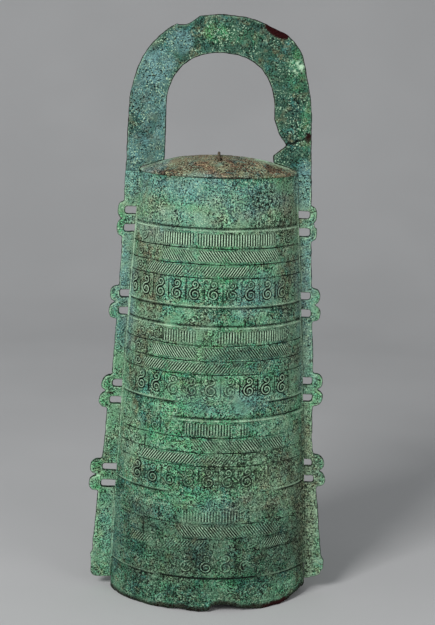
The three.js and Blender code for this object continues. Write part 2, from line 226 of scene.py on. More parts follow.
def rough_field(points, size, octaves, seed):
    """Smooth noise from about -1 to 1, its largest features size metres."""
    total = np.zeros(len(points))
    reach = 0
    for octave in range(octaves):
        spot = points / size * 2**octave + 37.3 * (octave + 1) + 1000
        cell = np.floor(spot).astype(np.int64)
        part = spot - cell
        part = part * part * (3 - 2 * part)
        value = np.zeros(len(points))
        for corner in np.ndindex(2, 2, 2):
            weight = np.prod(np.where(corner, part, 1 - part), axis=1)
            value += weight * lattice(cell + corner, seed + octave)
        total += (2 * value - 1) * 0.5**octave
        reach += 0.5**octave
    return total / reach * 1.4


def paint(obj, **values):
    """Stores painted values on a piece's points."""
    for name, value in values.items():
        layer = obj.data.attributes.new(name, "FLOAT", "POINT")
        layer.data.foreach_set("value", np.clip(value, 0, 1).astype(np.float32))


def blots(points, rows):
    """Value at the points from soft blots on the front, mirrored on the back. Each row has middle
    x and z and reach in x and z in millimetres, and strength."""
    x, y, z = 1000 * points.T
    x = np.where(y > 4, -x, x)
    waver = 0.35 * rough_field(points, 0.03, 3, 5)
    value = 0
    for middle_x, middle_z, reach_x, reach_z, strength in rows:
        away = np.hypot((x - middle_x) / reach_x, (z - middle_z) / reach_z) + waver
        value = np.maximum(value, strength * (1 - soft_step(0.55, 1.15, away)))
    return value


# The larger colour areas of the patina, as blots
colour_areas = {
    "turquoise": [
        (-68, 556, 20, 22, 1), (-42, 583, 14, 12, 0.9), (-74, 520, 20, 40, 0.55), (-84, 459, 24, 40, 0.6),
        (-58, 500, 12, 60, 0.7), (-30, 440, 60, 16, 0.8), (30, 428, 40, 20, 0.6), (-40, 400, 50, 18, 0.5),
        (88, 444, 12, 30, 0.8), (-94, 330, 14, 70, 0.8), (94, 340, 14, 60, 0.8), (15, 226, 60, 18, 0.5),
        (-105, 64, 14, 50, 0.35), (-30, 349, 26, 20, 0.4), (99, 254, 10, 50, 0.5), (10, 109, 30, 18, 0.3),
        (42, 334, 26, 26, 0.5),
    ],
    "tan": [
        (-16, 296, 18, 40, 0.55), (-66, 406, 26, 34, 0.8), (6, 414, 34, 26, 0.75), (60, 408, 30, 34, 0.6),
        (30, 390, 30, 10, 0.5), (0, 236, 60, 14, 0.6), (-30, 289, 40, 14, 0.5), (104, 96, 14, 74, 1),
        (104, 176, 12, 30, 0.7), (20, 154, 50, 30, 0.5), (-70, 294, 16, 60, 0.4), (60, 134, 40, 30, 0.6),
        (-50, 40, 40, 14, 0.5), (-84, 174, 16, 40, 0.5),
    ],
    "vivid": [
        (-6, 592, 14, 13, 0.9), (24, 588, 26, 10, 0.35), (80, 560, 14, 32, 0.65), (88, 504, 10, 40, 0.35),
        (-102, 396, 12, 22, 0.9), (-108, 309, 12, 24, 0.9), (-112, 209, 12, 40, 0.7),
        (-118, 120, 12, 30, 0.8), (-112, 56, 12, 50, 0.35), (106, 312, 12, 24, 0.5),
        (108, 219, 12, 30, 0.6), (-50, 180, 34, 22, 0.6), (-36, 122, 36, 14, 0.5), (20, 34, 40, 12, 0.4),
        (-50, 66, 24, 20, 0.25), (50, 444, 20, 10, 0.4), (-100, 254, 12, 40, 0.4), (-70, 409, 14, 10, 0.4),
        (-34, 262, 44, 26, 0.45), (-20, 222, 50, 24, 0.6), (-4, 366, 50, 44, 0.7), (20, 300, 34, 12, 0.4),
        (0, 262, 56, 40, 0.55), (-4, 190, 60, 30, 0.45), (0, 428, 40, 16, 0.4), (10, 150, 60, 22, 0.45),
    ],
    "blue": [
        (34, 267, 46, 18, 1), (-55, 104, 30, 20, 0.75), (30, 80, 60, 30, 0.3), (-20, 70, 60, 26, 0.35),
        (45, 26, 26, 12, 0.7), (44, 190, 30, 18, 0.6), (10, 334, 30, 14, 0.4), (70, 284, 26, 60, 0.5),
        (-98, 289, 10, 30, 0.5), (60, 64, 30, 50, 0.35), (-70, 64, 26, 50, 0.25),
    ],
    "brown": [
        (76, 352, 18, 60, 0.9), (85, 300, 16, 80, 0.8), (-74, 352, 20, 52, 1), (-80, 262, 14, 44, 0.8),
        (-52, 384, 20, 10, 0.5), (-86, 304, 12, 22, 0.6), (60, 296, 40, 10, 0.6), (96, 164, 16, 70, 0.6),
        (78, 399, 12, 40, 0.6), (60, 154, 40, 22, 0.5), (94, 64, 12, 60, 0.5), (-70, 290, 24, 8, 0.6),
        (102, 100, 14, 80, 0.5), (-16, 84, 20, 12, 0.4), (10, 70, 90, 34, 0.45), (44, 112, 34, 16, 0.7),
        (0, 92, 60, 14, 0.5), (-66, 92, 24, 30, 0.45), (72, 366, 12, 90, 0.8), (80, 250, 12, 60, 0.6),
        (88, 130, 12, 60, 0.7),
    ],
    "pitted": [
        (46, 428, 18, 14, 1), (60, 402, 20, 12, 0.8), (20, 152, 50, 26, 0.9), (104, 96, 16, 84, 0.9),
        (56, 160, 30, 14, 0.7), (-112, 150, 12, 26, 0.5), (-62, 30, 26, 14, 0.8), (4, 16, 90, 16, 0.6),
        (66, 60, 22, 50, 0.6), (-16, 284, 60, 8, 0.4),
    ],
}


def mesh_points(obj, value="co"):
    """A mesh's points, or their normals, as rows."""
    flat = np.empty(3 * len(obj.data.vertices))
    obj.data.vertices.foreach_get(value, flat)
    return flat.reshape(-1, 3)


def set_points(obj, points):
    """Moves a mesh's points."""
    obj.data.vertices.foreach_set("co", points.astype(np.float32).ravel())
    obj.data.update()


def new_piece(name, points, faces):
    """A smooth mesh object."""
    mesh = bpy.data.meshes.new(name)
    mesh.from_pydata(np.asarray(points).tolist(), [], [list(map(int, f)) for f in faces])
    mesh.shade_smooth()
    mesh.update()
    return add_object(name, mesh)


def joined_piece(name, parts):
    """One piece of several parts, each points and faces."""
    points, faces = [], []
    start = 0
    for part_points, part_faces in parts:
        points.append(part_points)
        faces += [tuple(start + i for i in f) for f in part_faces]
        start += len(part_points)
    return new_piece(name, np.concatenate(points), faces)


def ring_faces(rings, around, looped=False):
    """Faces between rings of points, looped from the last ring to the first or capped at the ends."""
    faces = []
    for ring in range(rings if looped else rings - 1):
        low, high = ring * around, (ring + 1) % rings * around
        for k in range(around):
            beside = (k + 1) % around
            faces.append((low + k, low + beside, high + beside, high + k))
    if not looped:
        faces.append(tuple(reversed(range(around))))
        faces.append(tuple(range((rings - 1) * around, rings * around)))
    return faces


def tidy_mesh(obj):
    """Merges doubled points and turns every face outwards."""
    shape = bmesh.new()
    shape.from_mesh(obj.data)
    bmesh.ops.remove_doubles(shape, verts=shape.verts, dist=1e-6)
    bmesh.ops.recalc_face_normals(shape, faces=shape.faces)
    shape.to_mesh(obj.data)
    shape.free()


def keep_result(obj):
    """Makes the result of a piece's modifiers its mesh."""
    graph = bpy.context.evaluated_depsgraph_get()
    made = bpy.data.meshes.new_from_object(obj.evaluated_get(graph))
    obj.modifiers.clear()
    obj.data = made


def finish_piece(obj, body, slot, material, *nodes):
    """Gives a piece its material, its colour areas, and what it is part of and stands for."""
    obj.data.materials.clear()
    obj.data.materials.append(material)
    if slot != "cord_hemp":
        points = mesh_points(obj)
        paint(obj, **{name: blots(points, rows) for name, rows in colour_areas.items()})
    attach(obj, body)
    if nodes:
        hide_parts(*nodes)


wall_height = 0.451
tip_wall = 0.006
face_wall = 0.003
almond_power = 1.3
register_height = 0.0762
register_tops = (0.399, 0.3004, 0.2048, 0.1132)
panel_rise = 0.0008
groove_offset = 0.0022

# Number, height and outward direction of each register's upper and lower edge
register_edges = []
for top in register_tops:
    register_edges.append((len(register_edges), top, 1))
    register_edges.append((len(register_edges), top - register_height, -1))

# Length along the plan of the wall at middle height, from the left tip to each turn
plan_turns = np.linspace(-math.pi / 2, math.pi / 2, 1441)
plan_steps = np.hypot(
    np.diff(0.0935 * np.sin(plan_turns)),
    np.diff(0.062 * np.clip(np.cos(plan_turns), 0, 1) ** almond_power),
)
plan_length = np.concatenate([[0], np.cumsum(plan_steps)])
plan_shares = 2 * plan_length / plan_length[-1] - 1


def wall_half_width(height):
    """Half width of the wall, in the plane of the flanges."""
    fall = 1 - height / wall_height
    return 0.0795 + 0.0255 * fall + 0.007 * fall * (1 - fall)


def wall_place(share, side, height, tip_inset=0.0, face_inset=0.0):
    """Points of the wall and their outward directions. Share runs from -1 at the left tip to 1 at
    the right tip, and side is -1 on the front and 1 on the back."""
    share, side, height = np.broadcast_arrays(share, side, height)
    turn = np.interp(share, plan_shares, plan_turns)
    width = wall_half_width(height) - tip_inset
    depth = 0.056 + 0.012 * (1 - height / wall_height) - face_inset
    cosine = np.clip(np.cos(turn), 1e-7, 1)
    points = np.stack([width * np.sin(turn), side * depth * cosine**almond_power, height], -1)
    steepness = almond_power * depth * cosine ** (almond_power - 1)
    out = np.stack([steepness * np.sin(turn), side * width * cosine, 0 * turn], -1)
    return points, out / np.linalg.norm(out, axis=-1, keepdims=True)


def unevenness(points):
    """Slow waves and shallow dents of the cast wall, in metres."""
    return 0.00035 * rough_field(points, 0.075, 2, 11) + 0.00022 * rough_field(points, 0.014, 3, 12)


# Worn ridges of the front, by edge number: how much is left, how much more is left in a stretch,
# and the stretch's start, full, fade and end in millimetres
worn_ridges = {
    3: (1, -0.85, -42, -30, 50, 62),
    4: (0, 1, -45, -36, 200, 210),
    5: (1, -0.9, -50, -38, 62, 74),
    6: (0.08, 0.45, -62, -50, -22, -12),
    7: (1, -0.75, -58, -50, 50, 64),
}


def ridge_presence(edge_number, x, y):
    """How much is left of a register's ridge."""
    outside, added, *reach = worn_ridges.get(edge_number, (1, 0, 0, 1, 2, 3))
    return np.where(y < 0, outside + added * between(*reach, x * 1000), 1)


def wall_relief(points):
    """How far the registers and their ridges stand proud of the plain wall."""
    x, y, z = points.T
    rise = 0
    for number, edge, outward in register_edges:
        ridge = 0.0011 * hump(z - edge, 0.00085)
        groove = 0.0005 * hump(z - edge - outward * groove_offset, 0.0007)
        rise = rise + ridge_presence(number, x, y) * (ridge - groove)
        rise -= outward * panel_rise * soft_step(edge - 0.0006, edge + 0.0006, z)
    return rise


# Worn lower edge of the wall, as x and height in millimetres, with a notch on each face
front_hem = (
    (-105, 0), (-58, 0), (-50, 1.4), (-41, 1.0), (-32, 3.2), (-24, 2.4), (-16, 1.2), (-7, 0.6), (1, 1.8),
    (2.6, 2), (4.7, 6.9), (9, 8.8), (17, 8.6), (26, 7.4), (34, 4.4), (42, 3.4), (51, 1.2), (59, 0.6),
    (68, 1), (77, 0.2), (85, 2), (94.5, 7), (105, 9),
)
back_hem = (
    (-105, 0), (-60, 0.8), (-34, 1), (-32, 7.8), (-2, 7.8), (1, 1.2), (50, 0.8), (85, 2), (95, 7),
    (105, 9),
)


def hem_lift(points):
    """How far the worn hem lies above the rest plane."""
    x = points[:, 0] * 1000
    back = np.interp(x, *zip(*back_hem))
    worn_off = np.where(points[:, 1] > 0, back, np.interp(x, *zip(*front_hem)))
    ragged = 0.0012 * rough_field(points * [1, 1, 0], 0.006, 4, 21)
    return np.clip(worn_off / 1000 + ragged, 0, 0.0105)


def worn_lift(points):
    """How far the worn hem lifts the points of the wall, none above 24 mm."""
    return hem_lift(points) * (1 - soft_step(0.001, 0.024, points[:, 2]))


def wall_rows():
    """Heights of the outer rows, closer at the ridges."""
    heights = [*np.arange(0, wall_height - 0.0004, 0.0021), wall_height]
    for _, edge, _ in register_edges:
        heights = [h for h in heights if abs(h - edge) > 0.0034]
        heights += list(edge + np.linspace(-0.0032, 0.0032, 15))
    return np.array(sorted(heights))


# Rows of the inner skin, as height and rise in millimetres, with the striking ridge
inside_rows = (
    (451, 0), (400, 0), (320, 0), (250, 0), (180, 0), (110, 0),
    (42, 0), (37, 5), (27, 5), (22, 0), (0, 0),
)


def bell_body():
    """The body as one closed skin: up the outside, and down the inside to the hem."""
    columns = 150
    shares = np.linspace(-1, 1, columns + 1)
    share = np.concatenate([shares[:-1], shares[::-1][:-1]])
    side = np.repeat([-1.0, 1.0], columns)
    skins = []
    for height in wall_rows():
        points, out = wall_place(share, side, height)
        moved = points + out * (wall_relief(points) + unevenness(points))[:, None]
        moved[:, 2] += worn_lift(points)
        skins.append(moved)
    for height, rise in np.array(inside_rows) / 1000:
        points, out = wall_place(share, side, height, tip_wall + rise, face_wall + rise)
        points[:, 2] += worn_lift(points)
        skins.append(points + out * 0.0003 * rough_field(points, 0.01, 2, 14)[:, None])
    return new_piece("body_casting", np.concatenate(skins), ring_faces(len(skins), len(share), True))


def paint_wall(obj):
    """Dirt and painted shade beside the ridges, a painted shadow under the lowest, painted shade towards the
    hem, wear on the ridges, and a dark red hem.
    """
    points = mesh_points(obj)
    x, y, z = points.T
    front = y < 0
    dirt = worn = 0
    patchy = 0.5 + 0.5 * rough_field(points, 0.02, 3, 31)
    for number, edge, outward in register_edges:
        left = ridge_presence(number, x, y)
        crest = left * hump(z - edge, 0.0008)
        # Beside each ridge its groove is painted dark: painted shade in the corner, with dirt.
        groove = left * hump(z - edge - outward * groove_offset, 0.001)
        worn = np.maximum(worn, 0.8 * crest * np.clip(1.9 * patchy - 0.35, 0.1, 1))
        dirt = np.maximum(dirt, groove * np.clip(1.8 - 1.8 * patchy, 0.25, 1))
    # Painted shadow: a dark band along the lowest ridge on the front, under its overhang.
    lowest_ridge_shadow = front * hump(z - register_edges[-1][1], 0.0019) * between(-0.055, -0.045, 0.045, 0.066, x)
    # Painted shade: the wall is painted darker towards the hem, where less light falls.
    low = (1 - soft_step(0.05, 0.16, z)) * (0.6 + 0.4 * soft_step(0.02, 0.04, z)) * (0.6 + 0.4 * patchy)
    ragged = 0.0012 * rough_field(points, 0.005, 2, 32)
    hem = 1 - soft_step(0.0028, 0.006, z - hem_lift(points) + ragged)
    reddest = front * between(0.054, 0.062, 0.082, 0.088, x)
    dirt = np.maximum.reduce([dirt, 1.1 * lowest_ridge_shadow, 0.5 * low, 0.8 * hem])
    paint(obj, dirt=dirt, worn=worn, maroon=hem * (0.4 + 0.6 * reddest))


body_patina = patina("body_patina", "#3C6A56", "#5B9C76", "#93C7A1", 1)
body = bell_body()
tidy_mesh(body)
paint_wall(body)
finish_piece(body, "bell", "body_bronze", body_patina, "bell_body")


# Ornament of the registers, cast in low relief with the wall: a row of upright hatching, two rows
# of slanted hatching that lean towards each other, and a row of paired spirals between upright
# lines. Much of it is worn flat, more on the lower registers.
def ribbon(across, heights, width, rise, apron=0.0):
    """Points and faces of a raised line on a flat path, with a low skirt apron wide beside it that carries
    painted shade.
    """
    line = np.column_stack([across, heights])
    along = np.gradient(line, axis=0)
    along /= np.linalg.norm(along, axis=1, keepdims=True)
    square = np.stack([along[:, 1], -along[:, 0]], -1)
    buried = -0.0004
    skirt = 0.00016
    profile = [(-0.5, buried), (-0.46, skirt), (-0.31, skirt), (-0.25, rise)]
    profile += [(-offset, lift) for offset, lift in reversed(profile)]
    points = []
    for offset, lift in profile:
        level = np.full(len(line), lift)
        level[[0, -1]] = buried
        reach = offset * width + math.copysign(apron if abs(offset) > 0.4 else 0, offset)
        points.append(np.column_stack([line + square * reach, level]))
    steps = len(profile)
    faces = []
    for i in range(len(line) - 1):
        for a in range(steps * i, steps * i + steps - 1):
            faces.append((a, a + steps, a + steps + 1, a + 1))
    return np.stack(points, 1).reshape(-1, 3), faces


def repeated(motif, count, pitch, shift=0.0):
    """Points and faces of a motif that geometry nodes repeat along a flat row."""
    tree = bpy.data.node_groups.new("row", "GeometryNodeTree")
    for name, way in (("Motif", "INPUT"), ("Row", "OUTPUT")):
        tree.interface.new_socket(name, in_out=way, socket_type="NodeSocketGeometry")
    start = -(count - 1) * pitch / 2 - shift
    places = {"Count": count, "Start Location": (start, 0, 0), "Offset": (pitch, 0, 0)}
    line = add_node(tree, "GeometryNodeMeshLine", places).outputs[0]
    one = add_node(tree, "NodeGroupInput").outputs["Motif"]
    copies = add_node(tree, "GeometryNodeInstanceOnPoints", links={"Points": line, "Instance": one})
    real = add_node(tree, "GeometryNodeRealizeInstances", links={"Geometry": copies.outputs[0]})
    add_node(tree, "NodeGroupOutput", links={"Row": real.outputs[0]})
    row = new_piece("row", *motif)
    row.modifiers.new("row", "NODES").node_group = tree
    keep_result(row)
    faces = [tuple(p.vertices) for p in row.data.polygons]
    points = mesh_points(row)
    bpy.data.objects.remove(row)
    return points, faces


def hatch_line(low, high, slant, width):
    """One raised line of a hatched row. Its skirt reaches half of the way to the next line."""
    heights = np.linspace(low, high, 6)
    lean = (heights - (low + high) / 2) / (high - low) * slant
    gap = hatch_pitch * (high - low) / math.hypot(high - low, slant)
    return ribbon(lean, heights, width, 0.0007, (gap - width) / 2)


def coil(middle, radius, angle):
    """Points of a spiral across and up from a middle height."""
    return np.column_stack([radius * np.cos(angle), middle + radius * np.sin(angle)])


def paired_spiral(top, bottom):
    """A small spiral that runs on into a larger one below it."""
    small, large = 0.0038, 0.0061
    middle = (top + bottom) / 2 + large - small
    turns = np.linspace(1.1, 0, 26)
    radius = small - (small - 0.0012) * turns / 1.1
    upper = coil(middle + small, radius, -math.pi / 2 + 2 * math.pi * turns)
    turns = np.linspace(0, 1.35, 36)
    radius = large - (large - 0.0016) * turns / 1.35
    lower = coil(middle - large, radius, math.pi / 2 + 2 * math.pi * turns)
    return ribbon(*np.vstack([upper, lower[1:]]).T, 0.0021, 0.0008, 0.0009)


def end_spiral(middle):
    """A single spiral that fills the end of a hatched row."""
    turns = np.linspace(0, 1.3, 32)
    line = coil(middle, 0.0046 - 0.0034 * turns / 1.3, 0.6 - 2 * math.pi * turns)
    return ribbon(*line.T, 0.002, 0.0006, 0.0008)


def upright(across, high, low):
    """A fine line that stands between two motifs."""
    return ribbon(np.full(8, across), np.linspace(high, low, 8), 0.0014, 0.0004)


def half_length(height):
    """Length along the wall from its middle to a tip."""
    return plan_length[-1] / 2 * (1 + 0.27 * (0.22 - height))


def along_wall(x, height):
    """Length along the wall from its middle to a given x."""
    turn = math.asin(x / wall_half_width(height))
    return np.interp(turn, plan_turns, plan_shares) * half_length(height)


def band_presence(windows, x):
    """How much of a row is left at x, from its stretches."""
    left = 0
    for start, end, strength in windows:
        left = np.maximum(left, strength * between(start - 5, start + 3, end - 3, end + 5, x * 1000))
    return left


# What is left of the ornament of each register: for each row the stretches' left and right end
# in millimetres and strength. On the back all rows of a register are alike.
front_wear = (
    (
        ((-64, -56, 0.5), (-53, -23, 0.75), (-18, 41, 1.0), (41, 58, 0.7)),
        ((-53, -20, 0.75), (-17, 52, 1.0), (52, 62, 0.6)),
        ((-67, -33, 0.95), (-33, -11, 0.4), (-11, 2, 0.9), (2, 30, 0.8), (30, 44, 0.4)),
        ((-84, -30, 1.0), (-30, 6, 0.7), (6, 26, 0.5), (26, 62, 0.8), (62, 84, 0.45)),
    ),
    (
        ((-51, -18, 0.65), (5, 72, 0.7)), ((-61, -18, 0.85), (-8, 74, 1.0)),
        ((-70, -48, 0.95), (-48, 32, 0.7), (32, 56, 0.45)),
        ((-80, -52, 0.7), (-52, 24, 0.5), (24, 78, 0.85)),
    ),
    (
        ((-28, 22, 0.6), (22, 40, 0.35)), ((-18, 2, 0.55), (2, 32, 0.35), (32, 72, 0.85)),
        ((-71, -18, 0.85), (-18, 30, 0.35)), ((-78, -41, 0.9), (-41, 52, 0.55)),
    ),
    (
        ((-28, 32, 0.5),), ((-31, 10, 0.85), (10, 72, 0.6)),
        ((-80, -60, 0.6), (-46, -4, 0.4), (56, 80, 0.6)), ((-74, -46, 0.5), (-38, 39, 0.6)),
    ),
)
back_wear = (
    ((-76, 76, 0.6),),
    ((-70, 20, 0.9), (34, 84, 0.7)),
    ((-84, -30, 0.6), (-10, 70, 0.8)),
    ((-80, 80, 0.8),),
)


def laid_on_wall(points, side, top, windows):
    """Lays a flat row on the wall. Its points are across, up from the register's top, and lift."""
    height = top + points[:, 1]
    share = np.clip(points[:, 0] / half_length(height), -1, 1)
    base, out = wall_place(share, side, height)
    keep = band_presence(windows, base[:, 0] * -side)
    keep = np.clip(keep * (1.08 + 0.7 * rough_field(base, 0.009, 3, 41)), 0, 1)
    lift = points[:, 2] * keep - 0.0006 * (1 - soft_step(0.12, 0.4, keep))
    placed = base + out * (wall_relief(base) + unevenness(base) + lift)[:, None]
    return placed, lift, keep


row_reach = 0.128
hatch_pitch = 0.0029
spiral_pitch = 0.0195
# How dark the fine upright and dividing lines are painted, crest and all.
line_dirt = -0.8

# Low and high end of the lines of each hatched row, their lean and their width
hatch_rows = (
    (-0.0174, -0.0013, 0, 0.0024),
    (-0.0334, -0.0181, -0.0118, 0.0017),
    (-0.0473, -0.0341, 0.0098, 0.0017),
)
hatch_brightness = (1.3, 1.1, 0.95, 0.6)
spiral_brightness = (0.67, 0.59, 0.42, 0.2)

# Spirals and lines at the ends of the rows, as x and drops below the register's top
end_spirals = ((-0.0725, 0.0095), (-0.0575, 0.0095), (-0.0765, 0.0258), (-0.0765, 0.0406), (0.072, 0.0095))
end_lines = ((-0.0515, 0.0022, 0.0168), (-0.0675, 0.0188, 0.0467))
stains = ((36, 268, 44, 16, 1), (30, 336, 20, 20, 0.7), (60, 190, 24, 14, 0.8))


def ornament_rows(number, windows):
    """The flat rows of one register, each with its mesh, its stretches, and how bright its crest is,
    or below zero how dark."""
    top = register_tops[number - 1]
    rows = []
    hatch_count = int(1.9 * row_reach / hatch_pitch)
    for line, window in zip(hatch_rows, windows):
        hatching = repeated(hatch_line(*line), hatch_count, hatch_pitch)
        rows.append((hatching, window, hatch_brightness[number - 1]))
    count = 2 * int(0.96 * row_reach / spiral_pitch) + 1
    spirals = repeated(paired_spiral(-0.0486, -0.0722), count, spiral_pitch, 0.0015)
    rows.append((spirals, windows[3], spiral_brightness[number - 1]))
    uprights = repeated(upright(0, -0.0485, -0.0725), count + 1, spiral_pitch, 0.0015)
    rows.append((uprights, windows[3], line_dirt))
    for x, drop in end_spirals:
        points, faces = end_spiral(-drop)
        points[:, 0] += along_wall(x, top - drop)
        rows.append(((points, faces), ((-90, 90, 0.92 - 0.18 * number),), 0.6))
    for x, high, low in end_lines:
        line = upright(along_wall(x, top - high), -high, -low)
        rows.append((line, ((-90, 90, 0.9),), line_dirt))
    across = np.linspace(-row_reach, row_reach, 160)
    for drop in (0.0177, 0.0337, 0.0476):
        waver = 0.0002 * np.sin(across * 130 + drop * 900)
        line = ribbon(across, waver - drop, 0.0011, 0.0004)
        rows.append((line, ((-92, 92, 1.12 - 0.14 * number),), line_dirt))
    return rows


def register_ornament(number, side):
    """All the relief of one register on one face."""
    windows = front_wear[number - 1] if side < 0 else (back_wear[number - 1],) * 4
    points, faces, worn, dirt = [], [], [], []
    start = 0
    for (flat, row_faces), row_windows, shade in ornament_rows(number, windows):
        placed, lift, keep = laid_on_wall(flat, side, register_tops[number - 1], row_windows)
        faces += [np.add(f, start) for f in row_faces if max(lift[list(f)]) > 0.00002]
        points.append(placed)
        crest = flat[:, 2] > 0.0003
        worn.append(np.where(crest, keep**1.4 * max(shade, 0), 0))
        # Flanks and skirts are painted dark: painted shade between the raised lines, with dirt.
        dirt.append(np.where(crest, keep * max(-shade, 0), keep))
        start += len(placed)
    used, faces = np.unique(faces, return_inverse=True)
    points, worn, dirt = (np.concatenate(parts)[used] for parts in (points, worn, dirt))
    face = "front" if side < 0 else "back"
    obj = new_piece(f"register_{number}_{face}", points, faces.reshape(-1, 4))
    spread = 0.85 + 0.5 * rough_field(points, 0.011, 3, 43)
    worn = 0.95 * worn * spread * (1 - 0.75 * blots(points, stains))
    paint(obj, worn=worn, dirt=1.3 * dirt * spread)
    finish_piece(obj, "bell", "body_bronze", body_patina)


for number in (1, 2, 3, 4):
    for side in (-1, 1):
        register_ornament(number, side)


# Crown, the domed plate that closes the top of the body, cast with it. Its rim stands out a
# little over the wall, and two round holes take the cord.
rim_half_width = 0.0803
rim_half_depth = 0.0568
hole_offset = 0.024


def dome(share):
    """Height of the dome over its rim, at 0 in the middle to 1 at the rim."""
    return 0.0147 * (1 - share**2.5)


def crown_casting():
    """The crown as a closed skin, from the middle over the rim to the underside."""
    around = 300
    angle = np.linspace(0, 2 * math.pi, around, endpoint=False)
    plan_x = np.cos(angle)
    plan_y = np.sign(np.sin(angle)) * np.abs(np.sin(angle)) ** almond_power
    rings = [(share, 0.454 + dome(share), False) for share in np.linspace(0.02, 0.985, 44)]
    for share, height in ((1.0, 0.4537), (1.002, 0.453), (1.0, 0.452), (0.995, 0.4512)):
        rings.append((share, height, False))
    rings += [(share, wall_height + dome(share), True) for share in np.linspace(0.985, 0.02, 20)]
    points = []
    for share, height, under in rings:
        width, depth = (0.0735, 0.053) if under else (rim_half_width, rim_half_depth)
        ring = np.column_stack([share * width * plan_x, share * depth * plan_y, np.full(around, height)])
        lumps = 0.0004 * rough_field(ring, 0.03, 2, 51) + 0.00035 * rough_field(ring, 0.007, 3, 52)
        ring[:, 2] += lumps * (0.3 if share > 0.98 and not under else 1)
        points.append(ring)
    return new_piece("crown_casting", np.concatenate(points), ring_faces(len(rings), around))


def piece_of(shape, name):
    """A mesh object of an edited shape, which is let go."""
    obj = new_piece(name, [], [])
    shape.to_mesh(obj.data)
    shape.free()
    return obj


def cut_away(obj, cutter):
    """Cuts a cutter's shape out of a piece."""
    cut = obj.modifiers.new("cut", "BOOLEAN")
    cut.object = cutter
    cut.operation = "DIFFERENCE"
    cut.solver = "EXACT"
    cut.use_self = True
    keep_result(obj)
    bpy.data.objects.remove(cutter)


def drilled(obj, place, radius):
    """Cuts a round upright hole through a piece."""
    drill = bmesh.new()
    bmesh.ops.create_cone(drill, cap_ends=True, segments=28, radius1=radius, radius2=radius, depth=0.04)
    bmesh.ops.translate(drill, vec=place, verts=drill.verts)
    cut_away(obj, piece_of(drill, "drill"))


def paint_crown(obj):
    """A worn rim, a painted shadow under it and a pale stripe between the handle's legs."""
    points = mesh_points(obj)
    x, y, z = points.T
    out = np.hypot(x / rim_half_width, y / rim_half_depth)
    rim = soft_step(0.975, 0.99, out) * soft_step(0.4525, 0.4532, z)
    rim *= 0.12 + 0.6 * soft_step(0.06, 0.076, np.abs(x))
    # A pale stripe is painted along the dome's crest between the handle's legs, stronger on the right.
    pale_stripe = hump(y - 0.001, 0.0105) * soft_step(0.026, 0.045, np.abs(x + 0.006))
    pale_stripe *= np.clip(0.65 + 1.3 * rough_field(points, 0.0045, 2, 53), 0, 1) * np.where(x > 0, 1, 0.4)
    # Painted shadow under the rim, where it stands out over the wall.
    under = soft_step(0.97, 0.99, out) * (1 - soft_step(0.4518, 0.4526, z))
    paint(obj, worn=np.maximum(rim, pale_stripe), dirt=0.8 * under)


crown = crown_casting()
tidy_mesh(crown)
for y in (-hole_offset, hole_offset):
    drilled(crown, (0, y, 0.463), 0.0045)
tidy_mesh(crown)
paint_crown(crown)
crown_patina = patina("crown_patina", "#574538", "#967B62", "#A0AC88", 1)
finish_piece(crown, "bell", "crown_bronze", crown_patina, "crown")


# Handle, flanges and ears, one flat plate that rises from the hem on one side, over the crown
# and down to the hem on the other, cast with the body. Its edges are worn round and chipped.
def joined_copy(name, nodes, links):
    """One mesh of several CAD nodes, with blocks that bridge the gaps between them."""
    shape = bmesh.new()
    for node in nodes:
        shape.from_mesh(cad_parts[node].data)
    for low, high in np.array(links):
        for vertex in bmesh.ops.create_cube(shape, size=1)["verts"]:
            vertex.co = (low + high) / 2 + np.array(vertex.co) * (high - low)
    return piece_of(shape, name)


def broken_away(obj, outlines):
    """Takes pieces out of a standing plate, each an outline of x and z in millimetres."""
    blocks = []
    for outline in outlines:
        across, up = np.array(outline).T / 1000
        rims = [np.column_stack([across, np.full(len(up), y), up]) for y in (-0.012, 0.012)]
        blocks.append((np.concatenate(rims), ring_faces(2, len(up))))
    cutter = joined_piece("cutter", blocks)
    tidy_mesh(cutter)
    cut_away(obj, cutter)


def even_skin(obj, step, rounds):
    """Rebuilds a mesh as one even skin with worn, rounded edges."""
    skin = obj.modifiers.new("skin", "REMESH")
    skin.mode = "VOXEL"
    skin.voxel_size = step
    skin.use_smooth_shade = True
    soften = obj.modifiers.new("soften", "SMOOTH")
    soften.factor = 0.6
    soften.iterations = rounds
    keep_result(obj)


def weathered(obj, coarse, fine):
    """Pushes a skin in and out by coarse and fine corrosion, in metres."""
    points = mesh_points(obj)
    amount = coarse * rough_field(points, 0.016, 3, 61) + fine * rough_field(points, 0.0045, 2, 62)
    set_points(obj, points + mesh_points(obj, "normal") * amount[:, None])


def bitten(obj, bites):
    """Pushes a plate's edge back out of round bites, as middle x and z and radius in millimetres."""
    points = mesh_points(obj)
    wobble = 1 + 0.14 * rough_field(points, 0.006, 2, 71)
    for x, z, radius in np.array(bites) / 1000:
        away = points[:, [0, 2]] - [x, z]
        distance = np.maximum(np.linalg.norm(away, axis=1), 1e-5)
        stretch = np.maximum(radius * wobble / distance, 1)
        points[:, [0, 2]] = away * stretch[:, None] + [x, z]
    set_points(obj, points)


def swollen(obj, middle, direction, reach, amount):
    """Moves the points round a middle x and z along a direction, most at the middle."""
    points = mesh_points(obj)
    away = np.hypot(points[:, 0] - middle[0], points[:, 2] - middle[1])
    points[:, [0, 2]] += amount * hump(away, reach)[:, None] * direction
    set_points(obj, points)


def widened(obj):
    """Moves the outer part of each flange to its real, uneven line."""
    points = mesh_points(obj)
    x, y, z = points.T
    wall = wall_half_width(np.clip(z, 0, wall_height))
    left = np.interp(z, (0, 0.03, 0.05, 0.14, 0.16, 0.21, 0.23), (0.5, 0.5, 3, 3, 2, 2, 0))
    right = np.interp(z, (0, 0.05, 0.1, 0.14, 0.16, 0.2, 0.22), (-1.5, -1, -1.5, -3, -4, -3, 0))
    share = soft_step(wall + 0.001, wall + 0.013, np.abs(x)) * (z < wall_height)
    points[:, 0] += share * np.where(x < 0, -left, right) / 1000
    set_points(obj, points)


